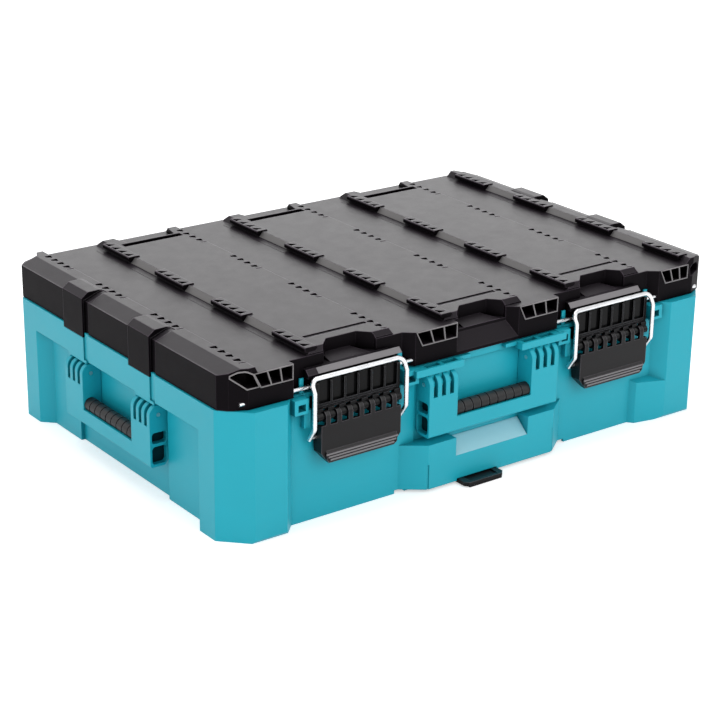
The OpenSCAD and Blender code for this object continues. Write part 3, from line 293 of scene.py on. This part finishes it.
def piece(name, body, material, verts, faces):
    """Makes a mesh piece that rides on a body."""
    mesh = bpy.data.meshes.new(name)
    mesh.from_pydata(verts, [], faces)
    bm = bmesh.new()
    bm.from_mesh(mesh)
    bmesh.ops.recalc_face_normals(bm, faces=bm.faces)
    bm.to_mesh(mesh)
    bm.free()
    mesh.materials.append(material)
    carry(bpy.data.objects.new(name, mesh), body)


def beads(name, body, material, lines, radius):
    """Makes thin round beads along lines; each line is (closed, points)."""
    curve = bpy.data.curves.new(name, "CURVE")
    curve.dimensions = "3D"
    curve.bevel_depth = radius
    curve.bevel_resolution = 2
    curve.use_fill_caps = True
    for closed, points in lines:
        spline = curve.splines.new("POLY")
        spline.points.add(len(points) - 1)
        for point, place in zip(spline.points, points):
            point.co = (*place, 1)
        spline.use_cyclic_u = closed
    curve.materials.append(material)
    carry(bpy.data.objects.new(name, curve), body)


def prism(verts, faces, outline_a, outline_b):
    """Adds a closed prism between two outlines that have the same number of points."""
    n, k = len(outline_a), len(verts)
    verts += [tuple(p) for p in outline_a] + [tuple(p) for p in outline_b]
    faces += [tuple(range(k, k + n)), tuple(range(k + n, k + 2 * n))]
    faces += [(k + i, k + (i + 1) % n, k + n + (i + 1) % n, k + n + i) for i in range(n)]


def run_x(verts, faces, outline, x0, x1):
    """Adds a prism along X from an outline of (y, z) points."""
    prism(verts, faces, [(x0, y, z) for y, z in outline], [(x1, y, z) for y, z in outline])


def run_y(verts, faces, outline, y0, y1):
    """Adds a prism along Y from an outline of (x, z) points."""
    prism(verts, faces, [(x, y0, z) for x, z in outline], [(x, y1, z) for x, z in outline])


def slab(verts, faces, lo, hi):
    """Adds a box."""
    (x0, y0, z0), (x1, y1, z1) = lo, hi
    plan = [(x0, y0), (x1, y0), (x1, y1), (x0, y1)]
    prism(verts, faces, [(x, y, z0) for x, y in plan], [(x, y, z1) for x, y in plan])


# ---- levers: pale ridges that stand out of the grip grooves
RIDGES = 3
GROOVE_Z = 0.00395  # height of the lowest grip groove above the lever's lower edge
GROOVE_PITCH = 0.0028
RIDGE_H = 0.0017
RIDGE_PROUD = 0.0006
RIDGE_DEEP = 0.0004
RIDGE_BEVEL = 0.0003
RIDGE_INSET = 0.0088  # how far the lowest ridge ends from the lever's sides
RIDGE_INSET_STEP = 0.0022  # how much less for each ridge above it


def lever_ridges(side):
    """Ridges along the lower edge of one lever."""
    lo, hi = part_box("latch_lever_" + side)
    front, back = lo[1] - RIDGE_PROUD, lo[1] + RIDGE_DEEP
    half = RIDGE_H / 2
    verts, faces = [], []
    for k in range(RIDGES):
        z = lo[2] + GROOVE_Z + k * GROOVE_PITCH
        inset = RIDGE_INSET - k * RIDGE_INSET_STEP
        outline = [(back, z - half), (front + RIDGE_BEVEL, z - half), (front, z - half / 2),
                   (front, z + half / 2), (front + RIDGE_BEVEL, z + half), (back, z + half)]
        run_x(verts, faces, outline, lo[0] + inset, hi[0] - inset)
    piece("lever_ridges_" + side, "latch_" + side, PALE_RIDGE_AND_HIGHLIGHT, verts, faces)


# ---- lid: painted highlights on the rims of the open cells
HALF_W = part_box("lid_shell")[1][0]
LID_FRONT = -0.1875
VALLEY_Z, PLATEAU_Z, NOTCH_Z = 0.161, 0.167, 0.150
CELL_Z, CELL_H = VALLEY_Z - 0.0135, 0.012
CELL_GAP = 0.002
CELL_LEAN = 0.007  # how far the first divider's foot leans
CELL_LEAN_STEP = 0.0024  # how much less each of the next ones does
CELL_BLOCKS = [(-HALF_W + 0.032, -0.227), (-0.086, -0.040), (0.040, 0.086), (0.228, HALF_W - 0.034)]
CELLS = 3
RIM_R = 0.0008
RIM_PROUD = 0.0001
# left-hand corner pocket: along the corner's slanted face, then along the front face, as distances
# and heights above the cells' foot
CORNER_AT = (-HALF_W + 0.020, -0.1855)
CORNER_TURN = math.radians(-27)
CORNER_PATH = [(-0.0112, 0.0110), (-0.0112, 0.0133), (-0.0040, 0.0163), (0.0020, 0.0168)]
CORNER_FRONT = [(0.0240, 0.0163), (0.0302, 0.0128), (0.0362, 0.0), (0.0235, 0.0)]


def corner_highlight_line(y):
    ax, ay = CORNER_AT
    c, s = math.cos(CORNER_TURN), math.sin(CORNER_TURN)
    slanted = [(ax + u * c, ay + u * s, CELL_Z + z) for u, z in CORNER_PATH]
    return slanted + [(-HALF_W + u, y, CELL_Z + z) for u, z in CORNER_FRONT]


def cell_rim_highlights():
    """Thin pale beads round the open cells, on their dividers and round the corner pocket: painted highlights
    on the cells' edges.
    """
    y = LID_FRONT - RIM_PROUD
    out = CELL_GAP / 2
    foot, top = CELL_Z - out, CELL_Z + CELL_H + out
    lean = [max(0.0, CELL_LEAN - k * CELL_LEAN_STEP) for k in range(CELLS + 1)]
    lines = []
    for x0, x1 in CELL_BLOCKS:
        step = (x1 - x0 + CELL_GAP) / CELLS
        lines.append((True, [(x0 - out + lean[0], y, foot), (x1 + out + lean[-1], y, foot),
                             (x1 + out, y, top), (x0 - out, y, top)]))
        for k in range(1, CELLS):
            x = x0 + k * step - out
            lines.append((False, [(x + lean[k], y, foot), (x, y, top)]))
    lines.append((True, corner_highlight_line(y)))
    beads("cell_rim_highlights", "lid", RIM_HIGHLIGHT, lines, RIM_R)


# ---- lid: strips of painted reflection on the rails' slopes
RAILS = 4
RAIL_FIRST, RAIL_LAST = 0.0995, 0.030  # the first rail from the lid's left end, the last from its right end
RAIL_PITCH = (2 * HALF_W - RAIL_FIRST - RAIL_LAST) / (RAILS - 1)
RAIL_SLOPE = 0.0055
BLOCKS = 4  # hooked blocks on each rail
BLOCK_PITCH, BLOCK_LEN = 0.103, 0.053
BLOCKS_MID_Y = 0.0035
SKIN = 0.0002
STRIP_FOOT, STRIP_TOP = 0.0006, 0.0002  # how far a strip stays inside the slope's foot and top


def rail_x(k):
    return -HALF_W + RAIL_FIRST + k * RAIL_PITCH


def rail_sheen_strips():
    """Strips on the slope of each rail, between its hooked blocks, a little smoother than the lid and pale as
    a painted reflection.
    """
    verts, faces = [], []
    for k in range(RAILS):
        foot = (rail_x(k) - RAIL_SLOPE + STRIP_FOOT, VALLEY_Z + STRIP_FOOT)
        top = (rail_x(k) - STRIP_TOP, PLATEAU_Z - STRIP_TOP)
        outline = [foot, top, (top[0] - SKIN, top[1] + SKIN), (foot[0] - SKIN, foot[1] + SKIN)]
        for j in range(BLOCKS - 1):
            y0 = BLOCKS_MID_Y + (j - (BLOCKS - 1) / 2) * BLOCK_PITCH + BLOCK_LEN / 2
            run_y(verts, faces, outline, y0, y0 + BLOCK_PITCH - BLOCK_LEN)
    piece("rail_sheen_strips", "lid", SLOPE_SHEEN, verts, faces)


# ---- lid: painted highlights on the bevels of the ledges above the latches
LATCH_X = PIVOT["latch_right"][0]
LEDGE_IN, LEDGE_OUT = -0.0525, 0.0415  # ends of a ledge from its latch, towards the middle and the case's end
LEDGE_Y, LEDGE_RUN = -0.1882, 0.0045


def ledge_highlights():
    """Pale strip, a little smoother than the lid, along the bevel of the lid's ledge above each latch: a
    painted highlight.
    """
    front = (LEDGE_Y, NOTCH_Z - LEDGE_RUN)
    back = (LEDGE_Y + LEDGE_RUN, NOTCH_Z)
    outline = [front, back, (back[0] - SKIN, back[1] + SKIN), (front[0] - SKIN, front[1] + SKIN)]
    verts, faces = [], []
    for s in (-1, 1):
        x0, x1 = sorted(s * (LATCH_X + end) for end in (LEDGE_IN, LEDGE_OUT))
        run_x(verts, faces, outline, x0, x1)
    piece("ledge_highlights", "lid", PALE_RIDGE_AND_HIGHLIGHT, verts, faces)


# ---- lid: faint mould lines
LINE_R = 0.00022
LINE_OFF = 0.013  # each line's distance left of its rail
LINE_Y = (-0.150, 0.188)


def mould_lines():
    """Faint raised lines that the mould leaves on the lid's top."""
    lines = [(False, [(rail_x(k) - LINE_OFF, y, VALLEY_Z) for y in LINE_Y]) for k in range(RAILS)]
    beads("mould_lines", "lid", MATS["lid_plastic"], lines, LINE_R)


# ---- handles: dark plates of painted shade at the backs of the windows in the arms' outer ends
HANDLE_HALF = 0.080
WINDOW_F, WINDOW_B = -0.0073, 0.0088  # front and back of the windows, behind the handle's pivot
WINDOWS_Z = [(-0.0285, -0.0175), (-0.0494, -0.0315)]  # below the pivot
WINDOW_DEEP = 0.006
WINDOW_BACK_T = 0.0005
# for each handle, the directions along it and from its front to its back
HANDLES = {
    "front_handle": ((1, 0), (0, 1)),
    "left_handle": ((0, 1), (1, 0)),
    "right_handle": ((0, 1), (-1, 0)),
}


def window_shade_plates(body):
    """Dark plate of painted shade a little way inside each window of a handle."""
    px, py, pz = PIVOT[body]
    along, back = HANDLES[body]
    verts, faces = [], []
    for s in (-1, 1):
        outer = s * (HANDLE_HALF - WINDOW_DEEP)
        corners = [(px + a * along[0] + b * back[0], py + a * along[1] + b * back[1])
                   for a in (outer, outer - s * WINDOW_BACK_T) for b in (WINDOW_F, WINDOW_B)]
        xs, ys = zip(*corners)
        for z0, z1 in WINDOWS_Z:
            slab(verts, faces, (min(xs), min(ys), pz + z0), (max(xs), max(ys), pz + z1))
    piece("window_shade_plates_" + body, body, SHADE, verts, faces)


# ---- centre block: painted highlight on the finger ramp
RAMP_HALF = 0.0445
RAMP_FRONT = (-0.1995, 0.030)  # y and z where the ramp meets the block's front
RAMP_BACK = (-0.1835, 0.044)
PLATE_T = 0.0004
PLATE_EDGE = 0.0003  # how far back and up the plate starts from the ramp's front


def ramp_highlight_plate():
    """Pale plate laid into the finger ramp below the handle: a painted highlight where the upward-facing ramp
    catches the light.
    """
    (y0, z0), (y1, z1) = RAMP_FRONT, RAMP_BACK
    run = math.hypot(y1 - y0, z1 - z0)
    rise_y, rise_z = -(z1 - z0) / run * PLATE_T, (y1 - y0) / run * PLATE_T
    under = [(x, y0 + PLATE_EDGE, z0 + PLATE_EDGE) for x in (-RAMP_HALF, RAMP_HALF)]
    under += [(x, y1, z1) for x in (RAMP_HALF, -RAMP_HALF)]
    verts, faces = [], []
    prism(verts, faces, under, [(x, y + rise_y, z + rise_z) for x, y, z in under])
    piece("ramp_highlight_plate", "base", RAMP_HIGHLIGHT, verts, faces)


# ---------------------------------------------------------------- floor, world and lamps
WHITE = (1, 1, 1, 1)
FLOOR_HALF = 6.0
FLOOR_RGBA = (0.86, 0.86, 0.86, 1)
FLOOR_ROUGH = 0.9
FLOOR_GLOW = 0.48
SKY_LIGHT, SKY_SEEN = 0.55, 1.0  # strength of the sky as a light and as a background
# name, place, aimed at, size, power in watts
LAMPS = [
    ("key", (0.1, -2.3, 1.3), (0, 0, 0.1), (1.8, 1.6), 26),
    ("top", (0.1, 0.5, 2.4), (0, 0, 0.1), (2.4, 1.8), 26),
    ("back", (1.5, 2.2, 1.1), (0, 0, 0.15), (3.0, 1.2), 22),
    ("side", (-2.2, -0.2, 1.1), (0, 0, 0.1), (1.4, 1.6), 12),
]


def make_floor():
    """White floor that takes the case's shadow and glows a little for the camera."""
    s = FLOOR_HALF
    mesh = bpy.data.meshes.new("floor")
    mesh.from_pydata([(-s, -s, 0), (s, -s, 0), (s, s, 0), (-s, s, 0)], [], [(0, 1, 2, 3)])
    floor = bpy.data.objects.new("floor", mesh)
    scene.collection.objects.link(floor)
    material = bpy.data.materials.new("floor_white")
    m = Nodes(material)
    bsdf = m.tree.nodes["Principled BSDF"]
    bsdf.inputs["Base Color"].default_value = FLOOR_RGBA
    bsdf.inputs["Roughness"].default_value = FLOOR_ROUGH
    bsdf.inputs["Specular IOR Level"].default_value = 0.0
    glow = m.add("ShaderNodeEmission", {"Color": WHITE})
    m.link(m.combine("MULTIPLY", m.seen(), FLOOR_GLOW), glow.inputs["Strength"])
    both = m.add("ShaderNodeAddShader")
    m.link(bsdf.outputs["BSDF"], both.inputs[0])
    m.link(glow.outputs["Emission"], both.inputs[1])
    m.link(both.outputs["Shader"], m.tree.nodes["Material Output"].inputs["Surface"])
    mesh.materials.append(material)


def make_world():
    """White sky that looks brighter than it lights."""
    world = bpy.data.worlds.new("studio")
    scene.world = world
    w = Nodes(world)
    background = w.tree.nodes["Background"]
    background.inputs["Color"].default_value = WHITE
    w.link(w.spread(w.seen(), 0, 1, SKY_LIGHT, SKY_SEEN), background.inputs["Strength"])


def make_lamps():
    """Rectangular lamps round the case."""
    for name, place, aim, size, power in LAMPS:
        light = bpy.data.lights.new(name, "AREA")
        light.shape = "RECTANGLE"
        light.size, light.size_y = size
        light.energy = power
        lamp = bpy.data.objects.new(name, light)
        scene.collection.objects.link(lamp)
        lamp.location = place
        lamp.rotation_euler = (Vector(aim) - Vector(place)).to_track_quat("-Z", "Y").to_euler()


# ---------------------------------------------------------------- build
make_camera()
dress_solids()
for side in ("left", "right"):
    lever_ridges(side)
for body in HANDLES:
    window_shade_plates(body)
ramp_highlight_plate()
cell_rim_highlights()
rail_sheen_strips()
ledge_highlights()
mould_lines()
make_floor()
make_world()
make_lamps()

scene.view_settings.view_transform = "Standard"
